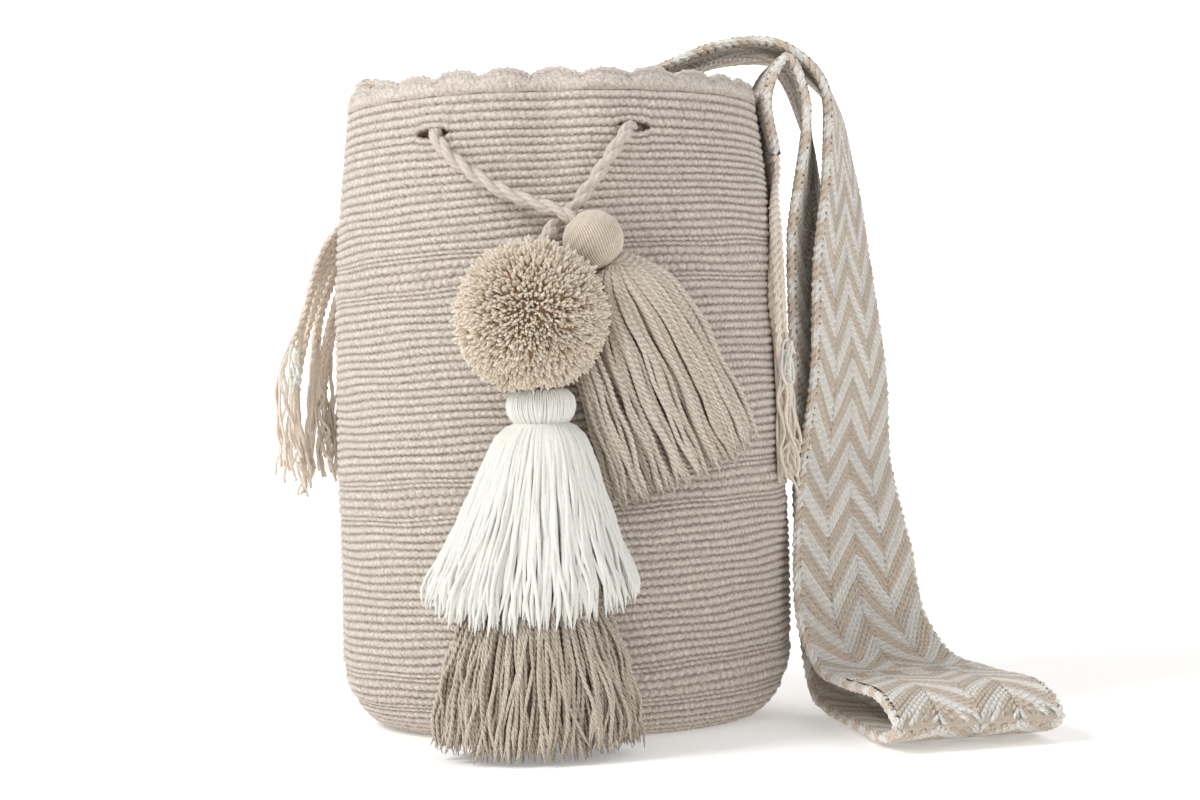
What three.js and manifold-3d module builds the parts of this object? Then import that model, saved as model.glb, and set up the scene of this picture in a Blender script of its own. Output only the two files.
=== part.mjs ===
// A crocheted bucket bag with a woven shoulder strap and a drawstring that ends in a pompom and tassels.
// Millimetres, +Z up. The base's centre stands on the floor at the origin and the front faces -Y.
import * as THREE from 'three';
import Module from 'manifold-3d';
import { mergeVertices } from 'three/addons/utils/BufferGeometryUtils.js';

// Fits
const GAP = 0.4;

// Bag body: a round crocheted bucket with a soft lower edge that narrows towards the mouth
const BAG_HEIGHT = 272;
const BAG_RADIUS = 100;
const RIM_RADIUS = 91;
const WALL = 5;
const FLOOR_THICKNESS = 6;
const EDGE_HEIGHT = 34;
const EDGE_DEPTH = 24;
const TAPER_FROM = 110;
const TAPER_POWER = 2.4;
const RIDGE_COUNT = 37;
const RIDGE_HEIGHT = 0.9;
const BAND_HEIGHTS = [22, 103, 198];
const BAND_HALF = 5.5;
const BAG_SEGMENTS = 28;

// Scalloped edging crocheted onto the rim
const EDGING_HEIGHT = 6;
const EDGING_THICKNESS = 6;
const SCALLOP_COUNT = 26;
const SCALLOP_HEIGHT = 4;
const SCALLOP_SEGMENTS = 3;

// Eyelets, as angles from the front towards +X
const EYELET_DROP = 16;
const EYELET_HEIGHT = BAG_HEIGHT - EYELET_DROP;
const EYELET_WIDTH = 20;
const EYELET_TALL = 10;
const BACK_EYELETS = [143, 171];
const EYELET_ANGLES = [27.5, ...BACK_EYELETS, ...BACK_EYELETS.map((angle) => -angle), -27.5];

// Drawstring
const ROPE_DIAMETER = 6.6;
const ROPE_STEPS = 76;
const ROPE_IN = 83.5;
const ROPE_OUT = 98.8;

// Pendants on the drawstring
const POMPOM_RADIUS = 30;
const POMPOM_CENTRE = new THREE.Vector3(2.9, -132, 176.8);
const TUFT_HEIGHT = 0.9;
const BEAD_RADIUS = 12.6;
const BEAD_ANGLE = 13.8;
const BEAD_HEIGHT = 207.2;
const BEAD_TASSEL_LEAN = 23;
const BEAD_TASSEL_LENGTH = 104.5;
const WHITE_TOP = 146.2;
const WHITE_NECK = 133.7;
const WHITE_HEM = 60;
const WHITE_WALL = 4;
const LOWER_HEM = 2.5;
const HEM_FLATNESS = 0.65;
const FLUTE_COUNT = 18;
const FLUTE_DEPTH = 0.04;

// Shoulder strap
const STRAP_WIDTH = 76;
const STRAP_END_WIDTH = 46;
const NARROW_STATIONS = 4.4;
const STRAP_THICKNESS = 4.2;
const ROWS_PER_STATION = 4;
const CHEVRON_COLUMNS = 4;
const CHEVRON_SHIFT = 0.4;
const CHEVRON_RELIEF = 0.4;
const SELVEDGE_RELIEF = 0.7;
const RIGHT_END_ANGLE = 102;
const LEFT_END_ANGLE = -120;
const STRAP_OVERLAP = 22;

// Loose cords at the strap's ends
const FRINGE_DIAMETER = 3;
const FRINGE_STEPS = 10;
const LEFT_FRINGE_COUNT = 6;
const RIGHT_FRINGE_COUNT = 5;

const BEIGE = new THREE.MeshStandardMaterial({ color: 0xcdbfae, roughness: 0.95, metalness: 0 });
const PALE_BEIGE = new THREE.MeshStandardMaterial({ color: 0xd6cabb, roughness: 0.95, metalness: 0 });
const WHITE = new THREE.MeshStandardMaterial({ color: 0xecebe6, roughness: 0.9, metalness: 0 });
const TAN = new THREE.MeshStandardMaterial({ color: 0xc2ad8f, roughness: 0.95, metalness: 0 });
const STRAP_MIX = new THREE.MeshStandardMaterial({ color: 0xd3ccc2, roughness: 0.95, metalness: 0 });

const wasm = await Module();
wasm.setup();

const bag = new THREE.Group();

function add(name, geometry, material) {
  const mesh = new THREE.Mesh(geometry, material);
  mesh.name = name;
  bag.add(mesh);
}

// A point at an angle from the front (degrees, towards +X), a distance from the axis and a height
function around(angle, radius, z) {
  const a = THREE.MathUtils.degToRad(angle);
  return new THREE.Vector3(radius * Math.sin(a), -radius * Math.cos(a), z);
}

// Moves each vertex of a geometry by a rule
function shaped(geometry, rule) {
  const places = geometry.getAttribute('position');
  const p = new THREE.Vector3();
  for (let i = 0; i < places.count; i += 1) {
    p.fromBufferAttribute(places, i);
    rule(p);
    places.setXYZ(i, p.x, p.y, p.z);
  }
  return geometry;
}

// A solid of revolution about Z from a profile of [radius, height] that runs upwards on its outside
function turned(profile, segments) {
  const points = profile.map(([radius, z]) => new THREE.Vector2(radius, z));
  return new THREE.LatheGeometry(points, segments).rotateX(Math.PI / 2);
}

function toSolid(geometry) {
  const bare = geometry.index ? geometry.toNonIndexed() : geometry.clone();
  bare.deleteAttribute('normal');
  bare.deleteAttribute('uv');
  const merged = mergeVertices(bare, 1e-3);
  return new wasm.Manifold(new wasm.Mesh({
    numProp: 3,
    vertProperties: merged.getAttribute('position').array,
    triVerts: new Uint32Array(merged.index.array),
  }));
}

function toGeometry(solid) {
  const mesh = solid.getMesh();
  const geometry = new THREE.BufferGeometry();
  geometry.setAttribute('position', new THREE.BufferAttribute(mesh.vertProperties, 3));
  geometry.setIndex(new THREE.BufferAttribute(mesh.triVerts, 1));
  return geometry;
}

// A round cord along a smooth curve through the points
function cordAlong(points, diameter, steps) {
  const section = new THREE.Shape();
  section.absarc(0, 0, diameter / 2, 0, 2 * Math.PI);
  return new THREE.ExtrudeGeometry(section, {
    steps,
    curveSegments: 4,
    bevelEnabled: false,
    extrudePath: new THREE.CatmullRomCurve3(points),
  });
}

// Distance of the bag's outer face from its axis, without the ridges
function bagRadius(z) {
  const edge = Math.max(0, 1 - z / EDGE_HEIGHT);
  const inset = EDGE_DEPTH * (1 - Math.sqrt(1 - edge * edge));
  const taper = Math.max(0, (z - TAPER_FROM) / (BAG_HEIGHT - TAPER_FROM));
  return BAG_RADIUS - inset - (BAG_RADIUS - RIM_RADIUS) * taper ** TAPER_POWER;
}

// Bag body: every ridge stands for two crochet rows, and three seed-stitch bands are plain
function bagBody() {
  const profile = [[0, 0], [bagRadius(0), 0]];
  const half = BAG_HEIGHT / RIDGE_COUNT / 2;
  for (let i = 1; i < 2 * RIDGE_COUNT; i += 1) {
    const z = i * half;
    const inBand = BAND_HEIGHTS.some((band) => Math.abs(z - band) < BAND_HALF);
    const relief = i % 2 === 1 || inBand ? RIDGE_HEIGHT / 2 : -RIDGE_HEIGHT / 2;
    profile.push([bagRadius(z) + relief, z]);
  }
  profile.push([RIM_RADIUS, BAG_HEIGHT]);
  const insideSteps = 12;
  for (let i = insideSteps; i >= 0; i -= 1) {
    const z = FLOOR_THICKNESS + (BAG_HEIGHT - FLOOR_THICKNESS) * (i / insideSteps) ** 1.6;
    profile.push([bagRadius(z) - WALL, z]);
  }
  profile.push([0, FLOOR_THICKNESS]);
  let solid = toSolid(turned(profile, BAG_SEGMENTS));
  for (const angle of EYELET_ANGLES) {
    solid = solid.subtract(toSolid(eyeletCutter(angle)));
  }
  return toGeometry(solid);
}

// A slot with round ends that goes through the wall at an angle round the bag
function eyeletCutter(angle) {
  const end = EYELET_TALL / 2;
  const reach = EYELET_WIDTH / 2 - end;
  const slot = new THREE.Shape();
  slot.absarc(reach, 0, end, -Math.PI / 2, Math.PI / 2);
  slot.absarc(-reach, 0, end, Math.PI / 2, 1.5 * Math.PI);
  const depth = 6 * WALL;
  const cutter = new THREE.ExtrudeGeometry(slot, { depth, curveSegments: 5, bevelEnabled: false });
  const middle = around(angle, bagRadius(EYELET_HEIGHT) - WALL / 2 - depth / 2, EYELET_HEIGHT);
  cutter.rotateX(Math.PI / 2);
  cutter.translate(0, depth, 0);
  cutter.rotateZ(THREE.MathUtils.degToRad(angle) + Math.PI);
  cutter.translate(middle.x, middle.y, middle.z);
  return cutter;
}

// Scalloped edging: a round-topped ring whose top rises into shells
function rimEdging() {
  const low = BAG_HEIGHT + GAP;
  const outer = RIM_RADIUS + (EDGING_THICKNESS - WALL) / 2;
  const inner = outer - EDGING_THICKNESS;
  const profile = [
    [inner, low],
    [outer, low],
    [outer, low + EDGING_HEIGHT - 2],
    [(outer + inner) / 2, low + EDGING_HEIGHT],
    [inner, low + EDGING_HEIGHT - 2],
    [inner, low],
  ];
  const ring = turned(profile, SCALLOP_COUNT * SCALLOP_SEGMENTS);
  return shaped(ring, (p) => {
    const rise = (p.z - low) / EDGING_HEIGHT;
    const shell = Math.abs(Math.sin((SCALLOP_COUNT / 2) * Math.atan2(p.y, p.x)));
    p.z += SCALLOP_HEIGHT * rise * shell;
  });
}

// Drawstring: from the pompom through the right front eyelet, round the bag and out to the wrapped bead
function drawstring() {
  const points = [new THREE.Vector3(6.4, -117.2, 204.8), new THREE.Vector3(9.2, -107, 212.4)];
  points.push(around(9.4, 101.4, 220), around(14.5, 101, 231), around(20, 100.4, 244.5));
  points.push(around(24.2, 97.6, 253.2), around(26.8, 91, 256), around(29.2, 85.8, 256), around(32, 84, 256));
  for (let angle = 38; angle <= 118; angle += 20) {
    points.push(around(angle, ROPE_IN, EYELET_HEIGHT));
  }
  points.push(...backLoop());
  for (let angle = -118; angle <= -38; angle += 20) {
    points.push(around(angle, ROPE_IN, EYELET_HEIGHT));
  }
  points.push(around(-32, 84, 256), around(-29.2, 85.8, 256));
  points.push(around(-26.8, 91, 256), around(-24, 97.8, 253.6));
  points.push(around(-20, 101, 246.5), around(-15, 101.4, 239), around(-6, 102, 229));
  points.push(around(2.5, 105.4, 222.8), around(7.6, 109.8, 219), beadPoint(-45, 1.12));
  return cordAlong(points, ROPE_DIAMETER, ROPE_STEPS);
}

// The drawstring's two short outside stretches at the back, one each side of the back's middle
function backLoop() {
  const points = [];
  const [first, second] = BACK_EYELETS;
  const outThrough = [[-3.2, 84.8], [0, 91.2], [4, ROPE_OUT - 0.6], [8.5, ROPE_OUT]];
  const half = outThrough.map(([angle, radius]) => [first + angle, radius]);
  half.push([(first + second) / 2, ROPE_OUT]);
  for (const [angle, radius] of [...outThrough].reverse()) {
    half.push([second - angle, radius]);
  }
  half.push([178.5, ROPE_IN]);
  for (const [angle, radius] of half) {
    points.push(around(angle, radius, EYELET_HEIGHT));
  }
  for (const [angle, radius] of [...half].reverse()) {
    points.push(around(-angle, radius, EYELET_HEIGHT));
  }
  return points;
}

// The bead lies on the bag, and the tassel below it leans along the bag's face
const beadCentre = around(BEAD_ANGLE, bagRadius(BEAD_HEIGHT) + BEAD_RADIUS + 1, BEAD_HEIGHT);

// A point at a share of the bead's radius, at a lean from its top towards the right
function beadPoint(lean, share) {
  const a = THREE.MathUtils.degToRad(lean);
  const reach = share * BEAD_RADIUS;
  const side = new THREE.Vector3(Math.sin(a) * reach, 0, Math.cos(a) * reach);
  return side.applyAxisAngle(new THREE.Vector3(0, 0, 1), THREE.MathUtils.degToRad(BEAD_ANGLE)).add(beadCentre);
}

function wrappedBead() {
  const ball = new THREE.SphereGeometry(BEAD_RADIUS, 20, 12);
  ball.rotateX(Math.PI / 2);
  ball.rotateY(THREE.MathUtils.degToRad(-BEAD_TASSEL_LEAN));
  return ball.translate(beadCentre.x, beadCentre.y, beadCentre.z);
}

// A pompom of cut yarn ends, with low tufts all over
function pompom(radius, tufts) {
  const ball = new THREE.IcosahedronGeometry(radius, 5);
  shaped(ball, (p) => {
    const bump = Math.sin(p.x * 0.9) * Math.sin(p.y * 0.9 + 1) * Math.sin(p.z * 0.9 + 2);
    p.multiplyScalar(1 + (tufts * bump) / radius);
  });
  return ball.translate(POMPOM_CENTRE.x, POMPOM_CENTRE.y, POMPOM_CENTRE.z);
}

// Yarn flutes round a tassel that grow towards its hem, where it is also flattened
function fluted(p, depth) {
  const angle = Math.atan2(p.y, p.x);
  const ripple = 1 + FLUTE_DEPTH * depth * Math.cos(FLUTE_COUNT * angle);
  p.x *= ripple;
  p.y *= ripple * (1 - (1 - HEM_FLATNESS) * depth);
}

// White tassel: a round head, a bound neck and a hollow bell of yarn, hung under the pompom
function whiteTassel() {
  const profile = [
    [0, 117],
    [10, 114],
    [26.4 - WHITE_WALL, 107],
    [34.5 - WHITE_WALL, 87],
    [43 - WHITE_WALL, 71],
    [44.5 - WHITE_WALL, WHITE_HEM],
    [44.5, WHITE_HEM],
    [43, 71],
    [34.5, 87],
    [26.4, 107],
    [22.4, 117],
    [17.6, 126],
    [10.6, 131.5],
    [9.6, WHITE_NECK],
    [11.6, 135.5],
    [13.4, 139],
    [12.6, 143],
    [9, WHITE_TOP - 0.6],
    [0, WHITE_TOP - 1.2],
  ];
  const head = new THREE.Vector3(5.7, -127.5, WHITE_TOP);
  const hem = new THREE.Vector3(-1.5, -131.5, WHITE_HEM);
  const tassel = turned(profile, 2 * FLUTE_COUNT);
  return shaped(tassel, (p) => {
    const down = THREE.MathUtils.clamp((WHITE_TOP - p.z) / (WHITE_TOP - WHITE_HEM), 0, 1);
    const skirt = THREE.MathUtils.clamp((WHITE_NECK - p.z) / (WHITE_NECK - WHITE_HEM), 0, 1);
    fluted(p, skirt);
    p.x += THREE.MathUtils.lerp(head.x, hem.x, down);
    p.y += THREE.MathUtils.lerp(head.y, hem.y, down);
  });
}

// Beige tassel whose head hangs inside the white bell and whose hem nearly reaches the floor
function lowerTassel() {
  const profile = [
    [0, LOWER_HEM],
    [37.5, LOWER_HEM],
    [39.6, 16],
    [37, 36],
    [31, 52],
    [24, 68],
    [16, 83],
    [8, 91],
    [10.5, 96],
    [8, 101],
    [2.5, 104],
    [2.5, 114.5],
    [0, 116.3],
  ];
  const tassel = turned(profile, 2 * FLUTE_COUNT);
  return shaped(tassel, (p) => {
    const skirt = THREE.MathUtils.clamp((91 - p.z) / (91 - LOWER_HEM), 0, 1);
    fluted(p, Math.sqrt(skirt));
    p.x += THREE.MathUtils.lerp(3.2, 0.4, skirt);
    p.y += THREE.MathUtils.lerp(-130.5, -131.5, skirt);
  });
}

// Tassel under the bead: a flat fan laid round the bag's face, pressed in where the pompom lies on it
function beadTassel() {
  const top = BEAD_RADIUS + GAP;
  const profile = [
    [0, -BEAD_TASSEL_LENGTH],
    [38, -BEAD_TASSEL_LENGTH],
    [34.5, -80],
    [27, -50],
    [20, -30],
    [15, -top - 4],
    [6, -top],
    [0, -top],
  ];
  const fan = turned(profile, 2 * FLUTE_COUNT);
  const lean = THREE.MathUtils.degToRad(BEAD_TASSEL_LEAN);
  const thickness = 12;
  const lay = BAG_RADIUS + thickness + 2;
  shaped(fan, (p) => {
    const down = THREE.MathUtils.clamp(-p.z / BEAD_TASSEL_LENGTH, 0, 1);
    const flat = Math.min(1, thickness / (38 * Math.sqrt(down)));
    const ripple = 1 + FLUTE_DEPTH * down * Math.cos(FLUTE_COUNT * Math.atan2(p.y, p.x));
    const across = p.x * ripple;
    const outward = -p.y * ripple * flat;
    const arc = across * Math.cos(lean) - p.z * Math.sin(lean);
    const z = BEAD_HEIGHT + p.z * Math.cos(lean) + across * Math.sin(lean);
    const angle = BEAD_ANGLE + THREE.MathUtils.radToDeg(arc / lay);
    p.copy(around(angle, lay + outward, z));
  });
  const room = toSolid(pompom(POMPOM_RADIUS + TUFT_HEIGHT + GAP, 0));
  return toGeometry(toSolid(fan).subtract(room));
}

// The strap's route: middle of the strap as [x, y, z] and the plan angle of its width, from the end sewn
// on at the right, over a loop, down to the floor, round a fold, back up and across the mouth to the left
function strapRoute() {
  const rightEnd = BAG_HEIGHT - STRAP_OVERLAP;
  const leftEnd = BAG_HEIGHT - STRAP_OVERLAP - 7;
  const rightLow = around(RIGHT_END_ANGLE, bagRadius(rightEnd) + STRAP_THICKNESS, rightEnd);
  const rightHigh = around(RIGHT_END_ANGLE, RIM_RADIUS + 4, BAG_HEIGHT + 5);
  const leftOver = around(LEFT_END_ANGLE, RIM_RADIUS + 1, BAG_HEIGHT + 18.5);
  const leftHigh = around(LEFT_END_ANGLE, RIM_RADIUS + 4.8, BAG_HEIGHT - 1);
  const leftLow = around(LEFT_END_ANGLE, bagRadius(leftEnd) + STRAP_THICKNESS, leftEnd);
  return [
    [rightLow.x, rightLow.y, rightLow.z, 102],
    [rightHigh.x, rightHigh.y, rightHigh.z, 102],
    [103, 27, 293.5, 98],
    [112.8, 36, 272, 93],
    [113.5, 45.3, 215, 77],
    [117.9, 42.6, 150, 69],
    [122.4, 37.3, 80, 61],
    [127.8, 29.5, 35, 53],
    [134.6, 19.2, 10, 47],
    [143, 0.7, 4.8, 39],
    [158.1, -55.2, 4, 27],
    [171.5, -111.8, 4.6, 23],
    [176.2, -130.4, 11.5, 23],
    [171.2, -113.8, 20, 23],
    [154.8, -57.5, 21, 27],
    [141, -16.2, 25, 36],
    [132.6, -4.2, 42, 41],
    [129.8, 3.7, 70, 45],
    [127.6, 26.1, 110, 57],
    [130.3, 34.7, 150, 63],
    [128.9, 42.8, 200, 70],
    [128.3, 52.3, 250, 81],
    [122.8, 53.6, 284, 88],
    [101.9, 52, 301, 92],
    [76, 49, 302, 95],
    [47.3, 44.3, 292, 95],
    [4, 34.5, 273, 90],
    [-40, 37, 277.5, 80],
    [leftOver.x, leftOver.y, leftOver.z, 63],
    [leftHigh.x, leftHigh.y, leftHigh.z, 60],
    [leftLow.x, leftLow.y, leftLow.z, 60],
  ];
}

const route = strapRoute();
const strapMiddle = new THREE.CatmullRomCurve3(
  route.map(([x, y, z]) => new THREE.Vector3(x, y, z)),
  false,
  'centripetal',
);

// A point of the strap at a share of its route, a distance across it and a distance off its middle
function strapPoint(share, across, off) {
  const t = THREE.MathUtils.clamp(share, 0, 1);
  const place = t * (route.length - 1);
  const i = Math.min(Math.floor(place), route.length - 2);
  const turn = THREE.MathUtils.degToRad(THREE.MathUtils.lerp(route[i][3], route[i + 1][3], place - i));
  const side = new THREE.Vector3(Math.cos(turn), Math.sin(turn), 0);
  const normal = new THREE.Vector3().crossVectors(strapMiddle.getTangent(t), side).normalize();
  return strapMiddle.getPoint(t).addScaledVector(side, across).addScaledVector(normal, off);
}

// Strap: a flat band bent along the route, with a raised rope at each edge and low ridges in chevrons
function strap() {
  const rows = ROWS_PER_STATION * (route.length - 1);
  const columns = CHEVRON_COLUMNS + 2;
  const lines = [-0.5, -0.43, -0.21, 0, 0.21, 0.43, 0.5];
  const band = new THREE.BoxGeometry(1, 1, 1, rows, columns, 1);
  return shaped(band, (p) => {
    const row = Math.round((p.x + 0.5) * rows);
    const column = Math.round((p.y + 0.5) * columns);
    const fromEnd = Math.min(row, rows - row) / ROWS_PER_STATION;
    const widen = THREE.MathUtils.smoothstep(fromEnd, 0.6, NARROW_STATIONS);
    const width = THREE.MathUtils.lerp(STRAP_END_WIDTH, STRAP_WIDTH, widen);
    const isEdge = column === 0 || column === columns;
    const isRope = column === 1 || column === columns - 1;
    const zigzag = column % 2 === 0 && !isEdge ? CHEVRON_SHIFT * widen : 0;
    const ridge = row % 2 === 0 ? CHEVRON_RELIEF * widen : 0;
    const thickness = STRAP_THICKNESS / 2 + (isRope ? SELVEDGE_RELIEF : ridge);
    p.copy(strapPoint((row + zigzag) / rows, lines[column] * width, Math.sign(p.z) * thickness));
  });
}

// The first points of a loose cord, straight out of a strap end at a share of its width
function fringeStart(end, share) {
  const across = (share - 0.5) * 0.84 * STRAP_END_WIDTH;
  const out = strapMiddle.getTangent(end).multiplyScalar(end === 0 ? -1 : 1);
  const edge = strapPoint(end, across, 0);
  return [edge.clone().addScaledVector(out, GAP), edge.clone().addScaledVector(out, 2 * FRINGE_DIAMETER)];
}

// Cords at the strap's right end: they hang down the bag and swing forward
function rightFringe(k) {
  const lie = FRINGE_DIAMETER / 2 + RIDGE_HEIGHT + GAP;
  const points = fringeStart(0, k / (RIGHT_FRINGE_COUNT - 1));
  points.push(around(80 + 4.6 * k, bagRadius(222) + lie + 0.8, 222));
  points.push(around(71 + 4 * k, bagRadius(190) + lie, 190));
  points.push(around(74 + 3 * k, bagRadius(150) + lie, 150));
  points.push(around(73 + 3 * k, bagRadius(110) + lie, 104 + 5 * (k % 3)));
  return cordAlong(points, FRINGE_DIAMETER, FRINGE_STEPS);
}

// Cords at the strap's left end: they bow away from the bag and swing forward
function leftFringe(k) {
  const points = fringeStart(1, 1 - k / (LEFT_FRINGE_COUNT - 1));
  const order = LEFT_FRINGE_COUNT - 1 - k;
  points.push(around(-101 - 3.9 * order, 103.5 + 1.8 * k, 215));
  points.push(around(-92 - 3.7 * order, 105 + 2.8 * k, 185));
  points.push(around(-86 - 3.5 * order, 105.5 + 3.5 * k, 150));
  points.push(around(-84 - 3.3 * order, 104.5 + 3.6 * k, 104 + 6 * (k % 3)));
  return cordAlong(points, FRINGE_DIAMETER, FRINGE_STEPS);
}

add('bag_body', bagBody(), BEIGE);
add('rim_edging', rimEdging(), BEIGE);
add('drawstring', drawstring(), PALE_BEIGE);
add('pompom', pompom(POMPOM_RADIUS, TUFT_HEIGHT), TAN);
add('white_tassel', whiteTassel(), WHITE);
add('lower_tassel', lowerTassel(), BEIGE);
add('wrapped_bead', wrappedBead(), BEIGE);
add('bead_tassel', beadTassel(), BEIGE);
add('strap', strap(), STRAP_MIX);
for (let k = 0; k < LEFT_FRINGE_COUNT; k += 1) {
  add(`left_fringe_cord_${k + 1}`, leftFringe(k), PALE_BEIGE);
}
for (let k = 0; k < RIGHT_FRINGE_COUNT; k += 1) {
  add(`right_fringe_cord_${k + 1}`, rightFringe(k), PALE_BEIGE);
}

export default bag;
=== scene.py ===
"""Crochet bucket bag with a chevron strap, a drawstring, a pompom and yarn tassels.

Lengths are in millimetres until a mesh is made. +Z is up and -Y is the front of the bag.
"""

import math

import bpy
import numpy as np
from mathutils import Matrix, Vector


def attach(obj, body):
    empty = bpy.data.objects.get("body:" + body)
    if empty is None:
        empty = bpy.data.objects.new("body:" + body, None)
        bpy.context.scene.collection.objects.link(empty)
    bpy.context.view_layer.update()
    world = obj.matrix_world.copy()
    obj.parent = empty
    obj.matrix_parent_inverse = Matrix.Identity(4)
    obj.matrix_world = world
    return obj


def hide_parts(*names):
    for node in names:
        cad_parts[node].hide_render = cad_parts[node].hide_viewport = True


MM = 0.001
TURN = 2 * math.pi
GOLDEN_TURN = math.pi * (3 - math.sqrt(5))

# Bag
BAG_HEIGHT = 272.0
BAG_RADIUS = 100.0
RIM_RADIUS = 91.0
WALL = 5.0
EDGE_HEIGHT = 34.0
EDGE_DEPTH = 24.0
TAPER_FROM = 110.0
TAPER_POWER = 2.4
BAND_HEIGHTS = (22.0, 103.0, 198.0)
RIDGE_HEIGHT = 0.9
GAP = 0.4

# Crochet
STITCHES = 196
SEEDS = 147
COLUMNS = 588
INSIDE_COLUMNS = 147
DISC_COLUMNS = 98
INSIDE_SAMPLES = (0.0, 0.5)
BODY_SPLIT = 42
ROW_HEIGHT = 3.45
THIN_ROW = 2.0
SEED_ROW = 3.8
RIDGE = 1.15
LOBE = 0.27
ROW_TILT = 3.8
CREASE_WAVE = 0.4
STITCH_SLANT = 0.35
PLAIN, THIN, SEED = range(3)
BAND = (THIN, THIN, SEED, SEED, SEED, THIN, THIN)

# Eyelets and edging
EYELET_HEIGHT = 256.0
EYELET_WIDTH = 16.0
EYELET_OPEN = 2.1
FRONT_EYELET = 27.5
BACK_EYELETS = (143.0, 171.0)
ROWS_OVER_EYELETS = 4
EYELET_ANGLES = (FRONT_EYELET, *BACK_EYELETS, *(-angle for angle in BACK_EYELETS), -FRONT_EYELET)
EDGING_HEIGHT = 6.0
EDGING_THICKNESS = 6.0
SCALLOP_COUNT = 26
SCALLOP_HEIGHT = 3.4

# Drawstring
ROPE_DIAMETER = 6.2
ROPE_IN = 83.5
ROPE_OUT = 98.8
ROPE_PITCH = 22.0

# Pendants
POMPOM_CENTRE = np.array((2.9, -132.0, 176.8))
POMPOM_RADIUS = 30.0
POMPOM_TUFTS = 8000
BEAD_RADIUS = 12.6
BEAD_ANGLE = 13.8
BEAD_HEIGHT = 207.2
BEAD_THREADS = 60
BEAD_ROPE_LEAN = -45.0
BEAD_TASSEL_LEAN = 23.0
BEAD_TASSEL_LENGTH = 104.5
BEAD_TASSEL_LAY = 114.0
WHITE_STRANDS = 500
LOWER_STRANDS = 520
BEAD_STRANDS = 260
HEAD_THREADS = 90
STRAND_RADIUS = 0.9

# Strap
STRAP_WIDTH = 76.0
STRAP_END_WIDTH = 46.0
NARROW_STATIONS = 4.4
STRAP_CORE = 2.2
CORE_STEPS = 300
CORE_COLUMNS = 7
RIGHT_END_ANGLE = 102.0
LEFT_END_ANGLE = -120.0
STRAP_OVERLAP = 22.0
STRAP_THICKNESS = 4.2
YARN_PITCH = 3.2
YARN_WIDE = 1.12
YARN_HIGH = 1.25
YARN_STRAY = 0.3
YARNS_WHITE = 3
YARNS_BEIGE = 3
CHEVRON_RISE = 22.0
SELVEDGE = 4.8
SELVEDGE_PITCH = 8.0
MIDDLE_BARS = 7.0

# Fringe
FRINGE_DIAMETER = 3.0
FRINGE_YARN = 3.9
FRINGE_PITCH = 8.5
FRINGE_STRAY = 2.0
FRAYS = 6
LEFT_FRINGE_COUNT = 6
RIGHT_FRINGE_COUNT = 5
TWISTED_SHARE = (0.63, 0.74)
TANGLES = (
    ("left_tangle", "left_fringe_cord_6", -84.5, 119, 164, 6.5, 5),
    ("right_tangle", "right_fringe_cord_1", 74, 107.5, 160, 6.0, 8),
)

# Colours, sRGB
BEIGE = (226, 215, 204)
# painted shade colour for creases, grooves, eyelet lips and the edging's foot
CREASE_SHADE = (164, 142, 123)
PALE = (221, 210, 198)
TAN = (255, 245, 230)
# painted shade colour of the pompom's tuft roots and core
TAN_SHADE = (192, 160, 122)
WHITE = (244, 243, 237)
# painted shade colour of the white tassel's inner strands, neck and grooves
WHITE_SHADE = (228, 226, 219)
SKIRT_BEIGE = (236, 222, 205)
# painted shade colour of the beige tassels' inner strands, necks and grooves
SKIRT_SHADE = (176, 152, 126)
FRINGE_PALE = (253, 241, 226)
STRAP_WHITE = (251, 247, 240)
STRAP_BEIGE = (229, 214, 197)

# Camera and light
VIEW_TURN = 5.0
CAMERA_AWAY = 1170.0
CAMERA_RIGHT = 18.0
CAMERA_HEIGHT = 142.0
CAMERA_ROLL = 1.6
LENS = 77.9
SENSOR = 36.0
WORLD_LIGHT = 0.53
FLOOR_GLOW = 0.26
BACKDROP_GLOW = 0.7
KEY_WATTS = 20
FILL_WATTS = 3.6


def linear(colour):
    c = np.asarray(colour, float) / 255
    return np.where(c <= 0.04045, c / 12.92, ((c + 0.055) / 1.055) ** 2.4)


def mixed(low, high, share):
    """Colours between two, one for each share"""
    s = np.asarray(share, float)[..., None]
    return linear(low) * (1 - s) + linear(high) * s


def smooth(x, low, high):
    t = np.clip((np.asarray(x, float) - low) / (high - low), 0, 1)
    return t * t * (3 - 2 * t)


def unit(v):
    return v / np.maximum(np.linalg.norm(v, axis=-1, keepdims=True), 1e-9)


def around(angle, radius, z):
    """A point at an angle in degrees from the front, towards +X"""
    a = np.radians(angle)
    return np.stack(np.broadcast_arrays(radius * np.sin(a), -radius * np.cos(a), z), -1).astype(float)


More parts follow.
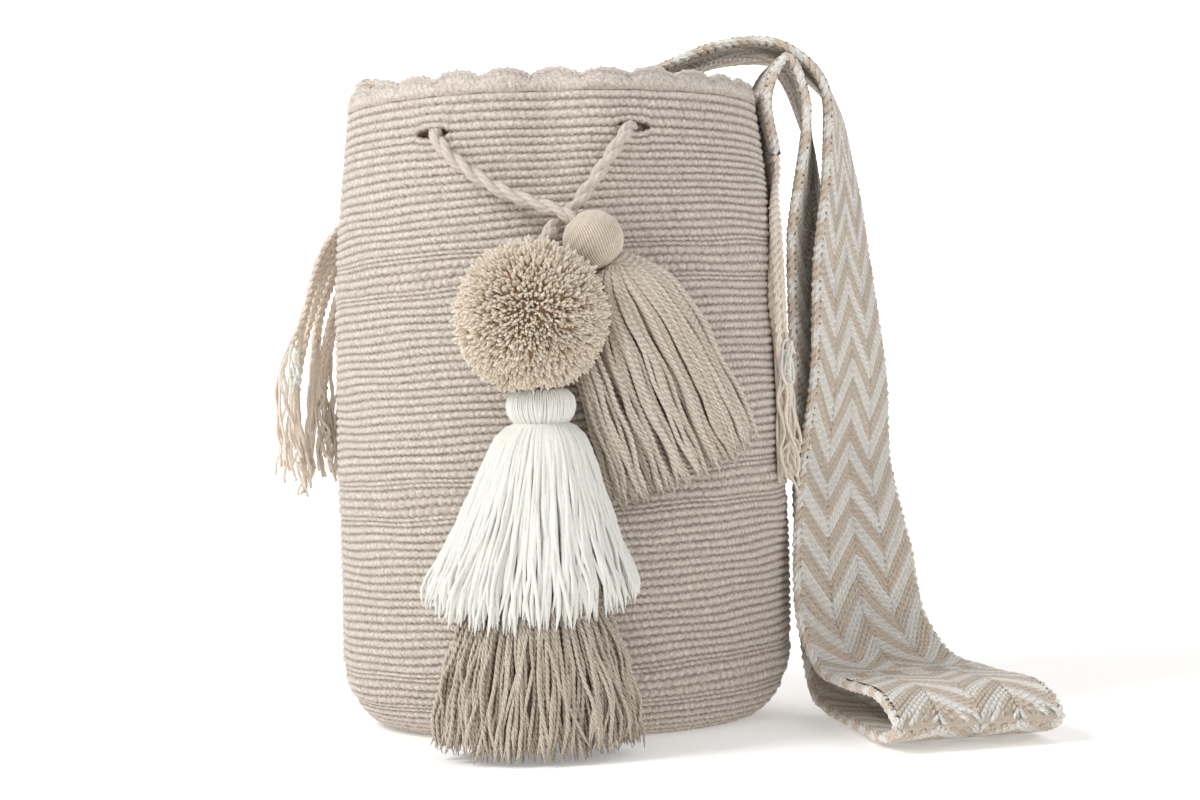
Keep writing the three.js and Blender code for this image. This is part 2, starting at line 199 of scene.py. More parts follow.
# Materials
class Yarn:
    """Fuzzy yarn: the colours painted on the mesh, painted shade included, with a fine mottle, fibre bumps
    and any marks added later
    """

    def __init__(self, name, fibre, mottle=0.1):
        self.material = bpy.data.materials.new(name)
        self.material.use_nodes = True
        self.tree = self.material.node_tree
        self.bsdf = self.tree.nodes["Principled BSDF"]
        self.bsdf.inputs["Roughness"].default_value = 0.92
        self.bsdf.inputs["Specular IOR Level"].default_value = 0.2
        self.bsdf.inputs["Sheen Weight"].default_value = 0.12
        self.bsdf.inputs["Sheen Roughness"].default_value = 0.5
        colour = self.tree.nodes.new("ShaderNodeAttribute")
        colour.attribute_name = "tint"
        self.place = self.tree.nodes.new("ShaderNodeTexCoord").outputs["Object"]
        shade = self.spread(self.noise(800.0), 0.3, 0.7, 1 - mottle, 1 + mottle / 2)
        self.colour = self.shaded(colour.outputs["Color"], shade)
        self.bump(self.noise(1700.0), fibre, 0.5)

    def noise(self, scale):
        node = self.tree.nodes.new("ShaderNodeTexNoise")
        node.inputs["Scale"].default_value = scale
        node.inputs["Detail"].default_value = 2.0
        self.tree.links.new(self.place, node.inputs["Vector"])
        return node.outputs["Fac"]

    def math(self, operation, *values):
        node = self.tree.nodes.new("ShaderNodeMath")
        node.operation = operation
        for socket, value in zip(node.inputs, values):
            if isinstance(value, (int, float)):
                socket.default_value = value
            else:
                self.tree.links.new(value, socket)
        return node.outputs[0]

    def spread(self, value, low, high, new_low, new_high):
        node = self.tree.nodes.new("ShaderNodeMapRange")
        self.tree.links.new(value, node.inputs["Value"])
        names = ("From Min", "From Max", "To Min", "To Max")
        for name, number in zip(names, (low, high, new_low, new_high)):
            node.inputs[name].default_value = number
        return node.outputs["Result"]

    def shaded(self, colour, factor):
        node = self.tree.nodes.new("ShaderNodeVectorMath")
        node.operation = "SCALE"
        self.tree.links.new(colour, node.inputs[0])
        self.tree.links.new(factor, node.inputs["Scale"])
        self.tree.links.new(node.outputs["Vector"], self.bsdf.inputs["Base Color"])
        return node.outputs["Vector"]

    def bump(self, height, strength, distance):
        node = self.tree.nodes.new("ShaderNodeBump")
        node.inputs["Strength"].default_value = strength
        node.inputs["Distance"].default_value = distance * MM
        self.tree.links.new(height, node.inputs["Height"])
        if self.bsdf.inputs["Normal"].links:
            self.tree.links.new(self.bsdf.inputs["Normal"].links[0].from_socket, node.inputs["Normal"])
        self.tree.links.new(node.outputs["Normal"], self.bsdf.inputs["Normal"])

    def marks(self):
        uv = self.tree.nodes.new("ShaderNodeUVMap")
        uv.uv_map = "yarn"
        parts = self.tree.nodes.new("ShaderNodeSeparateXYZ")
        self.tree.links.new(uv.outputs["UV"], parts.inputs["Vector"])
        return parts.outputs["X"], parts.outputs["Y"]


def plied_yarn(name, strength, turns, pitch, fibre=0.3, groove_shade=0.86, mottle=0.1):
    """Yarn with slanted ply marks and painted shade in their grooves: u is a share around it and v is
    millimetres along it
    """
    yarn = Yarn(name, fibre, mottle)
    u, v = yarn.marks()
    slant = yarn.math("MULTIPLY_ADD", v, TURN / pitch, yarn.math("MULTIPLY", u, turns * TURN))
    wave = yarn.math("SINE", slant)
    yarn.bump(wave, strength, 0.45)
    # painted shade: darker in the grooves between the plies
    yarn.shaded(yarn.colour, yarn.spread(wave, -1.0, 0.2, groove_shade, 1.0))
    return yarn.material


def crochet_yarn(name):
    """Crochet: u counts stitches along a row and v counts rows; painted shade darkens the creases between
    rows and a dot where two stitches meet
    """
    yarn = Yarn(name, 0.6, 0.26)
    u, v = yarn.marks()
    loose = yarn.math("SUBTRACT", yarn.noise(240.0), 0.5)
    u = yarn.math("MULTIPLY_ADD", loose, 0.9, u)
    v = yarn.math("MULTIPLY_ADD", yarn.math("SUBTRACT", yarn.noise(330.0), 0.5), 0.6, v)
    lobe = yarn.math("ABSOLUTE", yarn.math("SINE", yarn.math("MULTIPLY", u, math.pi)))
    row = yarn.math("ABSOLUTE", yarn.math("SINE", yarn.math("MULTIPLY", v, math.pi)))
    seam = yarn.math("POWER", yarn.math("SUBTRACT", 1.0, lobe), 1.6)
    crease = yarn.math("POWER", yarn.math("SUBTRACT", 1.0, row), 1.4)
    crease = yarn.math("MULTIPLY", crease, yarn.spread(yarn.noise(300.0), 0.35, 0.65, 0.4, 1.2))
    depth = yarn.math("ADD", yarn.math("MULTIPLY", seam, 0.32), crease)
    yarn.bump(yarn.noise(620.0), 0.7, 1.1)
    yarn.bump(yarn.math("SUBTRACT", 1.0, depth), 0.55, 0.9)
    # painted shade: darker in the creases and at the stitch seams, by the same depth as the bump
    yarn.shaded(yarn.colour, yarn.spread(depth, 0.0, 1.1, 1.03, 0.68))
    return yarn.material


# Meshes
def piece(name, points, quads, tint, material, uv=None):
    """A mesh object from points in millimetres, four-sided faces, a colour per point and a UV per corner"""
    mesh = bpy.data.meshes.new(name)
    mesh.vertices.add(len(points))
    mesh.vertices.foreach_set("co", (np.asarray(points, np.float32) * MM).ravel())
    mesh.loops.add(quads.size)
    mesh.loops.foreach_set("vertex_index", quads.astype(np.int32).ravel())
    mesh.polygons.add(len(quads))
    mesh.polygons.foreach_set("loop_start", np.arange(0, quads.size, 4, dtype=np.int32))
    mesh.polygons.foreach_set("use_smooth", np.ones(len(quads), bool))
    colours = mesh.color_attributes.new("tint", "FLOAT_COLOR", "POINT")
    rgba = np.ones((len(points), 4), np.float32)
    rgba[:, :3] = tint
    colours.data.foreach_set("color", rgba.ravel())
    if uv is not None:
        layer = mesh.uv_layers.new(name="yarn")
        layer.data.foreach_set("uv", uv.astype(np.float32).ravel())
    mesh.update(calc_edges=True)
    mesh.validate()
    mesh.materials.append(material)
    thing = bpy.data.objects.new(name, mesh)
    bpy.context.collection.objects.link(thing)
    return thing


def grid_faces(rings, columns, closed):
    """Corner numbers of a grid's faces, and each corner's ring and column"""
    across = columns if closed else columns - 1
    i, j = np.meshgrid(np.arange(rings - 1), np.arange(across), indexing="ij")
    ring = np.stack([i, i, i + 1, i + 1], -1).reshape(-1, 4)
    column = np.stack([j, j + 1, j + 1, j], -1).reshape(-1, 4)
    return ring * columns + column % columns, ring, column


def grid_piece(name, points, tint, material, closed=True, uv=None, flip=False):
    """A mesh from a grid of points; without its own UVs, u counts columns as a share and v counts rings"""
    rings, columns = points.shape[:2]
    quads, ring, column = grid_faces(rings, columns, closed)
    if uv is None:
        uv = np.stack([column / columns, ring.astype(float)], -1)
    if flip:
        quads = quads[:, ::-1]
        uv = uv[:, ::-1]
    colours = np.broadcast_to(tint, points.shape).reshape(-1, 3)
    return piece(name, points.reshape(-1, 3), quads, colours, material, uv)


def carried_frames(paths):
    """A normal and a second normal along each path, turning as little as they can"""
    tangents = unit(np.gradient(paths, axis=1))
    spare = np.where(np.abs(tangents[:, 0, 2:3]) < 0.9, [[0.0, 0, 1]], [[1.0, 0, 0]])
    normal = unit(np.cross(tangents[:, 0], spare))
    normals = [normal]
    for k in range(1, paths.shape[1]):
        tangent = tangents[:, k]
        normal = unit(normal - tangent * np.sum(normal * tangent, -1, keepdims=True))
        normals.append(normal)
    normals = np.stack(normals, 1)
    return normals, np.cross(tangents, normals)


def lengths_along(paths):
    steps = np.linalg.norm(np.diff(paths, axis=1), axis=-1)
    return np.concatenate([np.zeros((len(paths), 1)), np.cumsum(steps, 1)], 1)


def many_grids(points, paths, closed):
    """Points, faces and UVs of one grid along each path; u is a share around and v the length along"""
    count, steps, sides = points.shape[:3]
    quads, along, column = grid_faces(steps, sides, closed)
    offsets = np.arange(count)[:, None, None] * steps * sides
    shares = np.broadcast_to(column / sides, (count,) + column.shape)
    uv = np.stack([shares, lengths_along(paths)[:, along]], -1)
    return points.reshape(-1, 3), (quads[None] + offsets).reshape(-1, 4), uv.reshape(-1, 4, 2)


def tubes(paths, radius, sides=5):
    """Points, faces and UVs of a tube along each path; radius has one value per path and point"""
    count, steps = paths.shape[:2]
    first, second = carried_frames(paths)
    a = np.arange(sides) / sides * TURN
    ring = first[:, :, None] * np.cos(a)[:, None] + second[:, :, None] * np.sin(a)[:, None]
    radius = np.broadcast_to(radius, (count, steps))
    points = paths[:, :, None] + ring * radius[:, :, None, None]
    return many_grids(points, paths, True)


def tube_piece(name, paths, radius, tint, material, sides=5):
    """One mesh of many tubes; tint has one colour per path and point"""
    points, quads, uv = tubes(paths, radius, sides)
    colours = np.broadcast_to(tint, paths.shape)
    colours = np.repeat(colours.reshape(-1, 3), sides, 0)
    return piece(name, points, quads, colours, material, uv)


def joined(name, *parts):
    """One object from several"""
    for other in bpy.context.selected_objects:
        other.select_set(False)
    for part in parts:
        part.select_set(True)
    bpy.context.view_layer.objects.active = parts[0]
    bpy.ops.object.join()
    parts[0].name = name
    return parts[0]


# Curves
def curve(points, count):
    """Points on a centripetal curve through the given ones"""
    p = np.asarray(points, float)
    ends = np.vstack([2 * p[0] - p[1], p, 2 * p[-1] - p[-2]])
    t = np.linspace(0, len(p) - 1, count)
    i = np.minimum(t.astype(int), len(p) - 2)
    w = (t - i)[:, None]
    p0, p1, p2, p3 = (ends[i + k] for k in range(4))
    spans = ((p0, p1), (p1, p2), (p2, p3))
    d0, d1, d2 = (np.linalg.norm(b - a, axis=1, keepdims=True) ** 0.5 for a, b in spans)
    m1 = ((p1 - p0) / d0 - (p2 - p0) / (d0 + d1) + (p2 - p1) / d1) * d1
    m2 = ((p2 - p1) / d1 - (p3 - p1) / (d1 + d2) + (p3 - p2) / d2) * d1
    return p1 + m1 * w + (3 * p2 - 3 * p1 - 2 * m1 - m2) * w**2 + (2 * p1 - 2 * p2 + m1 + m2) * w**3


def even(points, step):
    """The same curve with points at even distances"""
    fine = curve(points, 40 * len(points))
    s = lengths_along(fine[None])[0]
    at = np.linspace(0, s[-1], max(3, int(round(s[-1] / step)) + 1))
    return np.stack([np.interp(at, s, fine[:, k]) for k in range(3)], -1)


def twisted(path, strands, off, pitch, phase=0.0):
    """Paths of the strands of a rope laid along a path"""
    first, second = carried_frames(path[None])
    s = lengths_along(path[None])[0]
    paths = []
    for k in range(strands):
        a = TURN * (s / pitch + k / strands) + phase
        paths.append(path + off * (first[0] * np.cos(a)[:, None] + second[0] * np.sin(a)[:, None]))
    return np.stack(paths)


# Bag
def bag_radius(z):
    z = np.asarray(z, float)
    edge = np.clip(1 - z / EDGE_HEIGHT, 0, 1)
    taper = np.clip((z - TAPER_FROM) / (BAG_HEIGHT - TAPER_FROM), 0, None)
    rounding = EDGE_DEPTH * (1 - np.sqrt(1 - edge**2))
    return BAG_RADIUS - rounding - (BAG_RADIUS - RIM_RADIUS) * taper**TAPER_POWER


EDGE_Z = EDGE_HEIGHT * np.linspace(0, 1, 400) ** 2
SIDE_Z = np.concatenate([EDGE_Z, np.linspace(EDGE_HEIGHT, BAG_HEIGHT, 800)[1:]])
SIDE_R = bag_radius(SIDE_Z)
SIDE_S = np.concatenate([[0], np.cumsum(np.hypot(np.diff(SIDE_R), np.diff(SIDE_Z)))])
SIDE_TILT = np.arctan2(np.gradient(SIDE_Z), np.gradient(SIDE_R))
EYELET_S = float(np.interp(EYELET_HEIGHT, SIDE_Z, SIDE_S))


def crochet_rows():
    """Row borders along the bag's side, each row's kind, and the row that starts at the eyelets"""
    sizes = {PLAIN: ROW_HEIGHT, THIN: THIN_ROW, SEED: SEED_ROW}
    band_size = sum(sizes[kind] for kind in BAND)
    kinds = []
    at = 0.0
    for height in BAND_HEIGHTS:
        middle = float(np.interp(height, SIDE_Z, SIDE_S))
        count = round((middle - band_size / 2 - at) / ROW_HEIGHT)
        kinds += [PLAIN] * count + list(BAND)
        at += count * ROW_HEIGHT + band_size
    count = round((EYELET_S - at) / ROW_HEIGHT)
    kinds += [PLAIN] * count
    low = np.array([sizes[kind] for kind in kinds])
    low *= EYELET_S / low.sum()
    high = np.full(ROWS_OVER_EYELETS, (SIDE_S[-1] - EYELET_S) / ROWS_OVER_EYELETS)
    borders = np.concatenate([[0], np.cumsum(np.concatenate([low, high]))])
    return borders, kinds + [PLAIN] * ROWS_OVER_EYELETS, len(kinds)


ROW_BORDERS, ROW_KINDS, EYELET_ROW = crochet_rows()


def stitch_count(kind, row, v, column):
    """Stitches counted along a row, half a stitch on from row to row; their middles are at the halves"""
    if kind == SEED:
        return column * SEEDS / COLUMNS + 0.5 * (row % 2)
    return column * STITCHES / COLUMNS + 0.5 * (row % 2) + STITCH_SLANT * v


def border_wave(row, column):
    """How far a row's lower border waves around its stitches"""
    return CREASE_WAVE * np.cos(TURN * stitch_count(ROW_KINDS[row], row, 0.0, column))


def relief(kind, row, v, column):
    """Height of the yarn in a row at a share of the row's height"""
    lobe = -np.cos(TURN * stitch_count(kind, row, v, column))
    arch = 1 - np.abs(2 * v - 1) ** 2.2
    size = (1.0, 0.6, 0.95)[kind]
    swell = (LOBE, 0.6 * LOBE, 2 * LOBE)[kind]
    return arch * (size * RIDGE + swell * lobe)


def dents(a, z):
    """Softness of the cloth: shallow waves, a crease at the rim's front, an eyelet's dent and a low fold"""
    soft = 0.5 * np.sin(3 * a + z / 44) + 0.35 * np.sin(5 * a - z / 31 + 1)
    soft = soft + 0.22 * np.sin(9 * a + z / 17 + 2)
    degrees = np.degrees(np.arctan2(np.sin(a), np.cos(a)))
    crease = -5.5 * np.exp(-(((degrees - 5) / 9) ** 2)) * smooth(z, 190, 262)
    fold = 1.6 * np.exp(-(((degrees - 46) / 5) ** 2)) * smooth(z, 28, 55) * (1 - smooth(z, 95, 125))
    pull = -4.0 * np.exp(-(((degrees - 31) / 12) ** 2)) * smooth(z, 165, 215)
    pull = pull * (1 - 0.6 * smooth(z, 235, 258))
    return soft * smooth(z, 4, 40) + crease + fold + pull


def eyelet_shift(a, from_border):
    """How far rows move apart at the eyelets, by their distance from the eyelets' border"""
    shift = np.zeros_like(a)
    for angle in EYELET_ANGLES:
        turned = a - math.radians(angle)
        away = np.arctan2(np.sin(turned), np.cos(turned)) * bag_radius(EYELET_HEIGHT)
        share = np.clip(1 - (2 * away / EYELET_WIDTH) ** 2, 0, 1)
        shift += EYELET_OPEN * np.sqrt(share)
    return shift * np.exp(-np.abs(from_border) / 5.5)


def wall_ring(a, s, height, upper, inside):
    """Points around the bag at a distance along its side, raised by the yarn's height"""
    step = eyelet_shift(a, s - EYELET_S) * (1 if upper else -1)
    wave = 0.3 * np.sin(7 * a + s / 5) + 0.2 * np.sin(13 * a + s / 9 + 1)
    wave = wave + ROW_TILT * np.sin(a - math.radians(VIEW_TURN))
    free = smooth(s, 6, 40) * (1 - smooth(s, EYELET_S - 34, EYELET_S - 2))
    at = np.clip(s + step + wave * free, 0, SIDE_S[-1])
    z = np.interp(at, SIDE_S, SIDE_Z)
    tilt = np.interp(at, SIDE_S, SIDE_TILT)
    off = height - RIDGE * 0.4 if not inside else -WALL - height + RIDGE * 0.4
    radius = np.interp(at, SIDE_S, SIDE_R) + off * np.sin(tilt) + dents(a, z)
    floor = 0.3 if not inside else WALL + 0.5
    return np.stack([radius * np.sin(a), -radius * np.cos(a), np.maximum(z - off * np.cos(tilt), floor)], -1)


def wall(name, first, last, inside=False, samples=(0.0, 0.3, 0.7)):
    """Rows of crochet from one border to another, with turned-in lips at the eyelets' border"""
    columns = INSIDE_COLUMNS if inside else COLUMNS
    column = np.arange(columns) * (COLUMNS / columns)
    a = column / COLUMNS * TURN
    upper = first >= EYELET_ROW
    rng = np.random.default_rng(7 + first + 100 * inside)
    rings, tints, marks = [], [], []
    for row in range(first, last):
        low, high = ROW_BORDERS[row], ROW_BORDERS[row + 1]
        puff = rng.random(columns // 3).repeat(3) if columns == COLUMNS else rng.random(columns)
        for v in samples:
            height = relief(ROW_KINDS[row], row, v, column) * (0.8 + 0.4 * puff)
            at = low + v * (high - low)
            if v == 0.0 and row > 0:
                at = at + border_wave(row, column)
            rings.append(wall_ring(a, at, height, upper, inside))
            # painted shade: the low parts of each row take the crease shade colour; puffier stitches are also
            # a little lighter
            tints.append(mixed(CREASE_SHADE, BEIGE, smooth(height, -0.7, 0.8)) * (0.94 + 0.08 * puff)[:, None])
            marks.append((row, v))
    flat = np.zeros(columns)
    border = ROW_BORDERS[last]
    if last < len(ROW_KINDS):
        border = border + border_wave(last, column)
    rings.append(wall_ring(a, border, flat, upper, inside))
    # painted shade: the border ring takes the crease shade colour
    tints.append(mixed(CREASE_SHADE, BEIGE, smooth(flat, -0.7, 0.8)))
    marks.append((last, 0.0))
    points = np.stack(rings)
    uv = stitch_marks(marks, columns)
    rows = grid_piece(name, points, np.stack(tints), CROCHET, uv=uv, flip=inside)
    if inside or EYELET_ROW not in (first, last):
        return rows
    border = ROW_BORDERS[EYELET_ROW] + border_wave(EYELET_ROW, column)
    lips = [wall_ring(a, border, flat - k * WALL / 2, upper, False) for k in range(3)]
    # painted shade: the lips turned into the eyelets take the crease shade colour
    turned_in = grid_piece(name + "_lips", np.stack(lips), linear(CREASE_SHADE), ROPE_YARN, flip=upper)
    return joined(name, rows, turned_in)


def stitch_marks(marks, columns):
    """UVs of crochet rows: stitches along and rows up, from each ring's row and share of it"""
    _, ring, corner = grid_faces(len(marks), columns, True)
    column = corner * (COLUMNS / columns)
    row = np.array([m[0] for m in marks])
    share = np.array([m[1] for m in marks])
    face_row = row[ring[:, :1]]
    v = np.where(row[ring] > face_row, 1.0, share[ring])
    kinds = np.array(ROW_KINDS + [PLAIN])[face_row]
    plain = stitch_count(PLAIN, face_row, v, column)
    seeds = stitch_count(SEED, face_row, v, column)
    return np.stack([np.where(kinds == SEED, seeds, plain), face_row + v], -1)


def disc(name, radius, z, up):
    """A round of crochet worked outwards from the middle"""
    a = np.arange(DISC_COLUMNS) / DISC_COLUMNS * TURN
    rows = int(radius / ROW_HEIGHT)
    rings, tints = [], []
    for ring in range(2 * rows + 1):
        r = max(0.4, ring / 2 * radius / rows)
        height = 1.1 * (ring % 2)
        level = np.full(DISC_COLUMNS, z + up * (height - 1.2))
        rings.append(np.stack([r * np.sin(a), -r * np.cos(a), level], -1))
        # painted shade: the low rings between the raised ones take the crease shade colour
        tints.append(mixed(CREASE_SHADE, BEIGE, np.full(DISC_COLUMNS, 0.3 + 0.7 * (ring % 2))))
    _, ring, column = grid_faces(len(rings), DISC_COLUMNS, True)
    stitches = np.maximum(6, 6 * (ring[:, :1] // 2))
    uv = np.stack([column / DISC_COLUMNS * stitches, ring / 2], -1)
    return grid_piece(name, np.stack(rings), np.stack(tints), CROCHET, uv=uv, flip=up > 0)


def edging():
    """Scalloped edging on the rim, with slanted yarns and a twisted top edge"""
    rng = np.random.default_rng(17)
    a = np.arange(COLUMNS) / COLUMNS * TURN
    share = a / TURN * SCALLOP_COUNT
    tall = rng.uniform(0.7, 1.1, SCALLOP_COUNT)[share.astype(int)]
    top = EDGING_HEIGHT - 1.2 + SCALLOP_HEIGHT * tall * (1 - np.abs(2 * (share % 1) - 1) ** 2.4)
    middle = RIM_RADIUS - WALL / 2 + dents(a, np.full(COLUMNS, BAG_HEIGHT))
    half = EDGING_THICKNESS / 2
    section = ((0.95, -0.1), (1.08, 0.3), (0.95, 0.65), (0.6, 0.95), (0.0, 1.0))
    section += tuple((-off, up) for off, up in reversed(section[:-1]))
    rings, tints = [], []
    for off, up in section:
        lobe = -np.cos(TURN * (STITCHES * a / TURN + 1.2 * up))
        r = middle + off * half + 0.35 * np.sign(off) * lobe * (abs(off) > 0.3)
        rings.append(np.stack([r * np.sin(a), -r * np.cos(a), BAG_HEIGHT + 0.2 + top * up], -1))
        # painted shade: the edging's two bottom rings, where it meets the body, are darker
        tints.append(mixed(CREASE_SHADE, BEIGE, np.full(COLUMNS, 0.45 if up < 0 else 1.0)))
    _, ring, column = grid_faces(len(section), COLUMNS, True)
    ups = np.array([up for _, up in section])[ring]
    uv = np.stack([column * STITCHES / COLUMNS + 1.2 * ups, 0.5 + 0.4 * ups], -1)
    shells = grid_piece("edging_shells", np.stack(rings), np.stack(tints), CROCHET, uv=uv)
    line = np.stack([middle * np.sin(a), -middle * np.cos(a), BAG_HEIGHT + top + 0.2], -1)[::2]
    line = np.vstack([line, line[:1]])
    strands = twisted(line, 2, 1.05, TURN * RIM_RADIUS / 96)
    edge = tube_piece("edging_edge", strands, 1.2, linear(BEIGE), ROPE_YARN, 5)
    return joined("rim_crochet", shells, edge)


# Drawstring and pendants
BEAD_CENTRE = around(BEAD_ANGLE, bag_radius(BEAD_HEIGHT) + BEAD_RADIUS + 1, BEAD_HEIGHT)
BEAD_SIDE = np.array((math.cos(math.radians(BEAD_ANGLE)), math.sin(math.radians(BEAD_ANGLE)), 0.0))


def bead_point(lean, share):
    """A point in the bead's own upright plane, lean degrees from straight up"""
    reach = share * BEAD_RADIUS
    a = math.radians(lean)
    return BEAD_CENTRE + BEAD_SIDE * math.sin(a) * reach + np.array((0, 0, math.cos(a) * reach))


def back_loop():
    first, second = BACK_EYELETS
    out = [(-3.2, 84.8), (0, 91.2), (4, ROPE_OUT - 0.6), (8.5, ROPE_OUT)]
    half = [(first + angle, radius) for angle, radius in out]
    half += [((first + second) / 2, ROPE_OUT)]
    half += [(second - angle, radius) for angle, radius in reversed(out)]
    half += [(178.5, ROPE_IN)]
    turns = half + [(-angle, radius) for angle, radius in reversed(half)]
    return [around(angle, radius, EYELET_HEIGHT) for angle, radius in turns]


def drawstring_route():
    points = [np.array((6.4, -117.2, 204.8)), np.array((9.2, -107, 212.4))]
    points += [around(*p) for p in ((9.4, 101.4, 220), (14.5, 101, 231), (20, 100.4, 244.5))]
    points += [around(*p) for p in ((24.2, 97.6, 253.2), (26.8, 91, 256), (29.2, 85.8, 256), (32, 84, 256))]
    points += [around(angle, ROPE_IN, EYELET_HEIGHT) for angle in range(38, 119, 20)]
    points += back_loop()
    points += [around(angle, ROPE_IN, EYELET_HEIGHT) for angle in range(-118, -37, 20)]
    points += [around(*p) for p in ((-32, 84, 256), (-29.2, 85.8, 256), (-26.8, 91, 256), (-24, 97.8, 253.6))]
    points += [around(*p) for p in ((-20, 101, 246.5), (-15, 101.4, 239), (-6, 102, 229))]
    points += [around(2.5, 105.4, 222.8), around(7.6, 109.8, 219)]
    points += [bead_point(BEAD_ROPE_LEAN, share) for share in (1.12, 0.85)]
    return points


def rope(name, path, diameter, pitch, strands, material, colour, sides=7):
    """A rope of twisted strands along a path"""
    off = diameter * 0.21
    paths = twisted(path, strands, off, pitch)
    radius = diameter / 2 - off
    return tube_piece(name, paths, radius, linear(colour), material, sides)


def drawstring():
    path = even(drawstring_route(), 1.6)
    cord = rope("drawstring_rope", path, ROPE_DIAMETER, ROPE_PITCH, 2, ROPE_YARN, PALE, 8)
    return cord, path


def pompom():
    """Yarn ends standing out of a core on every side"""
    rng = np.random.default_rng(11)
    k = np.arange(POMPOM_TUFTS)
    z = 1 - 2 * (k + 0.5) / POMPOM_TUFTS
    a = k * GOLDEN_TURN
    out = np.stack([np.sqrt(1 - z**2) * np.cos(a), np.sqrt(1 - z**2) * np.sin(a), z], -1)
    lean = unit(out + rng.normal(0, 0.07, out.shape))
    reach = POMPOM_RADIUS + rng.normal(0, 0.8, POMPOM_TUFTS)
    bend = rng.normal(0, 1.1, out.shape)
    bend[:, 2] -= 0.8
    t = np.array((0.6, 0.84, 0.98, 1.0))
    paths = out[:, None] * (t[:, None] * reach[:, None, None])
    paths += (lean - out)[:, None] * (reach[:, None, None] * (t[:, None] - 0.3))
    paths += bend[:, None] * (t[:, None] - 0.6) ** 2 * 5
    radius = np.array((0.5, 0.66, 0.7, 0.1))[None] * (0.85 + 0.3 * rng.random((POMPOM_TUFTS, 1)))
    # painted shade: each tuft is dark at the root and light at the tip, with a random tone per tuft
    light = np.clip((np.array((0.1, 0.5, 0.95, 1.15)) - 0.35 * rng.random((POMPOM_TUFTS, 1))), 0, 1)
    tint = mixed(TAN_SHADE, TAN, light)
    tufts = tube_piece("pompom_tufts", paths + POMPOM_CENTRE, radius, tint, TUFT_YARN, 3)
    rings = np.linspace(0.02, math.pi - 0.02, 16)
    b = np.arange(24) / 24 * TURN
    core = np.stack([np.outer(np.sin(rings), np.cos(b)), np.outer(np.sin(rings), np.sin(b)),
                     np.outer(np.cos(rings), np.ones(24))], -1) * POMPOM_RADIUS * 0.87 + POMPOM_CENTRE
    # painted shade: the core under the tufts takes the shade colour
    heart = grid_piece("pompom_core", core, linear(TAN_SHADE), TUFT_YARN, flip=True)
    return joined("pompom_yarn", tufts, heart)


def along_profile(profile, share):
    """Radius and height at shares of a profile's length"""
    p = np.asarray(profile, float)
    s = np.concatenate([[0], np.cumsum(np.hypot(*np.diff(p, axis=0).T))])
    return np.interp(share * s[-1], s, p[:, 0]), np.interp(share * s[-1], s, p[:, 1])


def skirt(count, profile, axis, flat, seed, layers, uneven, lift, loose, steps=15):
    """Paths of the strands of a hanging skirt: from the neck down a profile, wavy, with uneven ends.

    The strands at the sides end higher by a share lift, and loose sets how much they sway.
    """
    rng = np.random.default_rng(seed)

    def each():
        return rng.random((count, 1))

    t = np.linspace(0, 1, steps)
    angle = (np.arange(count) * GOLDEN_TURN)[:, None] + rng.normal(0, 0.05, (count, 1))
    end = 1 - lift * np.cos(angle) ** 2 + uneven * rng.normal(0, 1, (count, 1)).clip(-1.6, 1.6)
    share = np.clip(t * end, 0, 1.12)
    radius, z = along_profile(profile, np.minimum(share, 1))
    low = profile[-1][1]
    z = z - (share - np.minimum(share, 1)) * (profile[0][1] - low)
    depth = layers[0] + (layers[1] - layers[0]) * each() ** 0.6
    stray = (each() < 0.06).astype(float)
    sway = loose * 0.06 * rng.normal(0, 1, (count, 1)) * t**1.5 * (1 + 2.5 * stray)
    sway = sway + loose * 0.025 * np.sin(t * 9 + each() * TURN) * t
    ripple = loose * 0.9 * np.sin(t * (7 + 5 * each()) + each() * TURN) * t
    ripple += loose * 0.45 * np.sin(t * (17 + 9 * each()) + each() * TURN) * smooth(t, 0, 0.4)
    radius = radius * depth + ripple + stray * 4 * each() * t**3
    top, bottom = np.asarray(axis[0], float), np.asarray(axis[1], float)
    down = np.clip((profile[0][1] - z) / (profile[0][1] - low), 0, 1)
    x = radius * np.cos(angle + sway) + top[0] + (bottom[0] - top[0]) * down
    squash = 1 + (flat - 1) * np.sqrt(down)
    y = radius * np.sin(angle + sway) * squash + top[1] + (bottom[1] - top[1]) * down
    # painted shade: strands darker near the neck under the head and in the inner layers, times a random tone
    # per strand
    shade = (1 - 0.35 * each() ** 2) * (0.6 + 0.4 * smooth(t, 0.0, 0.2))
    shade = shade * (0.45 + 0.55 * smooth(depth, layers[0], layers[0] + 0.7 * (layers[1] - layers[0])))
    return np.stack([x, y, np.maximum(z, 1.2)], -1), shade


def strand_piece(name, paths, shade, deep, light, radius=STRAND_RADIUS, material=None):
    ends = np.ones(paths.shape[1])
    ends[-1] = 0.2
    # painted shade: shade mixes each strand from the shade colour deep to the colour light
    return tube_piece(name, paths, radius * ends[None], mixed(deep, light, shade), material or STRAND_YARN, 5)


def threaded(name, profile, axis, threads, skew, deep, light, material=None):
    """A turned form wound with threads that run from its top to its bottom"""
    columns = threads * 3
    a = np.arange(columns) / columns * TURN
    rings, tints = [], []
    for k, (r, z) in enumerate(profile):
        turned = a + skew * k / len(profile)
        bump = np.cos(TURN * np.arange(columns) / 3)
        radius = r + 0.28 * bump * min(1, r / 8)
        x = radius * np.cos(turned) + axis[0]
        y = radius * np.sin(turned) + axis[1]
        rings.append(np.stack([x, y, np.full(columns, z)], -1))
        # painted shade: darker in the grooves between the threads
        tints.append(mixed(deep, light, smooth(bump, -0.6, 0.6)))
    return grid_piece(name, np.stack(rings), np.stack(tints), material or STRAND_YARN)


